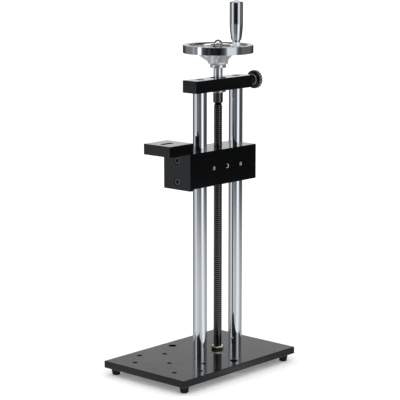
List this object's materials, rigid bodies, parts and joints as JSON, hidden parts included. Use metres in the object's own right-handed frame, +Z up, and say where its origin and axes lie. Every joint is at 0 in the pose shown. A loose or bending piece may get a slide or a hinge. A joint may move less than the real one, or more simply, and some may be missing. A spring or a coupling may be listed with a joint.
{
  "type": "force gauge test stand",
  "caption": "Hand-cranked bench stand: a handwheel turns a lead screw that raises and lowers a gauge bracket on two chromed columns over a drilled base plate.",
  "frame": {"origin": "centre of the base plate's outline, at the level of the feet's undersides", "axes": "+Z up along the columns, -Y to the front where the gauge bracket reaches out, +X to the right seen from the front"},
  "size_m": [0.154, 0.24, 0.5291],
  "materials": {
    "plate_black": "satin black coat",
    "black_anodised": "satin black anodised",
    "foot_rubber": "matt",
    "chrome": "polished",
    "wheel_aluminium": "cast, rim turned and polished",
    "screw_black": "oiled black oxide",
    "fastener_black": "black oxide",
    "bearing_steel": "ground",
    "brass": "turned",
    "knob_black": "satin black"
  },
  "bodies": {
    "frame": {"base_plate": "plate_black", "rubber_feet": "foot_rubber", "foot_screws": "bearing_steel", "front_column": "chrome", "rear_column": "chrome", "column_base_screws": "fastener_black", "top_bar": "black_anodised", "bar_cap_screws": "fastener_black", "upper_bearing_outer_ring": "bearing_steel", "upper_bearing_shields": "bearing_steel", "lower_bearing_outer_ring": "bearing_steel", "lower_bearing_shields": "bearing_steel", "foot_bush": "brass"},
    "spindle": {"lead_screw": "screw_black", "thrust_washer": "bearing_steel", "lower_bearing_inner_ring": "bearing_steel", "upper_bearing_inner_ring": "bearing_steel", "bearing_spacer": "bearing_steel", "flanged_sleeve": "chrome", "handwheel": "wheel_aluminium", "wheel_key": "bearing_steel", "wheel_washer": "chrome", "cap_nut": "chrome", "handle_stud": "chrome"},
    "upper_ball_set": {"upper_bearing_balls": "bearing_steel", "upper_bearing_cage": "brass"},
    "lower_ball_set": {"lower_bearing_balls": "bearing_steel", "lower_bearing_cage": "brass"},
    "grip": {"handle_grip": "chrome"},
    "carriage": {"carriage_block": "black_anodised", "front_upper_guide_bush": "brass", "front_lower_guide_bush": "brass", "rear_upper_guide_bush": "brass", "rear_lower_guide_bush": "brass", "lead_nut": "brass", "lead_nut_screws": "fastener_black", "gauge_bracket": "black_anodised", "bracket_screws": "fastener_black"},
    "thumb_thread": {"thumb_stud": "fastener_black"},
    "thumb_head": {"thumb_knob": "knob_black"}
  },
  "joints": [
    {"name": "spindle_turn", "type": "hinge", "parent": "frame", "child": "spindle", "pos_m": [0, 0.0365, 0.402], "axis": [0, 0, 1], "range_deg": [-7201, 28801]},
    {"name": "carriage_slide", "type": "slide", "parent": "frame", "child": "carriage", "axis": [0, 0, 1], "range_m": [-0.24, 0.06]},
    {"name": "handle_spin", "type": "hinge", "parent": "spindle", "child": "grip", "pos_m": [0.03988, 0.02947, 0.492], "axis": [0, 0, 1], "continuous": true},
    {"name": "upper_ball_turn", "type": "hinge", "parent": "frame", "child": "upper_ball_set", "pos_m": [0, 0.0365, 0.4133], "axis": [0, 0, 1], "range_deg": [-2665, 10657]},
    {"name": "lower_ball_turn", "type": "hinge", "parent": "frame", "child": "lower_ball_set", "pos_m": [0, 0.0365, 0.4013], "axis": [0, 0, 1], "range_deg": [-2665, 10657]},
    {"name": "thumb_slide", "type": "slide", "parent": "frame", "child": "thumb_thread", "axis": [0, 1, 0], "range_m": [0, 0.004]},
    {"name": "thumb_turn", "type": "hinge", "parent": "thumb_thread", "child": "thumb_head", "pos_m": [0, 0.11, 0.40905], "axis": [0, 1, 0], "range_deg": [0, 1441]}
  ],
  "couplings": [
    {"joint": "spindle_turn", "follows": "carriage_slide", "rad_per_m": -2094.4},
    {"joint": "upper_ball_turn", "follows": "carriage_slide", "rad_per_m": -774.93},
    {"joint": "lower_ball_turn", "follows": "carriage_slide", "rad_per_m": -774.93},
    {"joint": "thumb_turn", "follows": "thumb_slide", "rad_per_m": 6283.2}
  ]
}
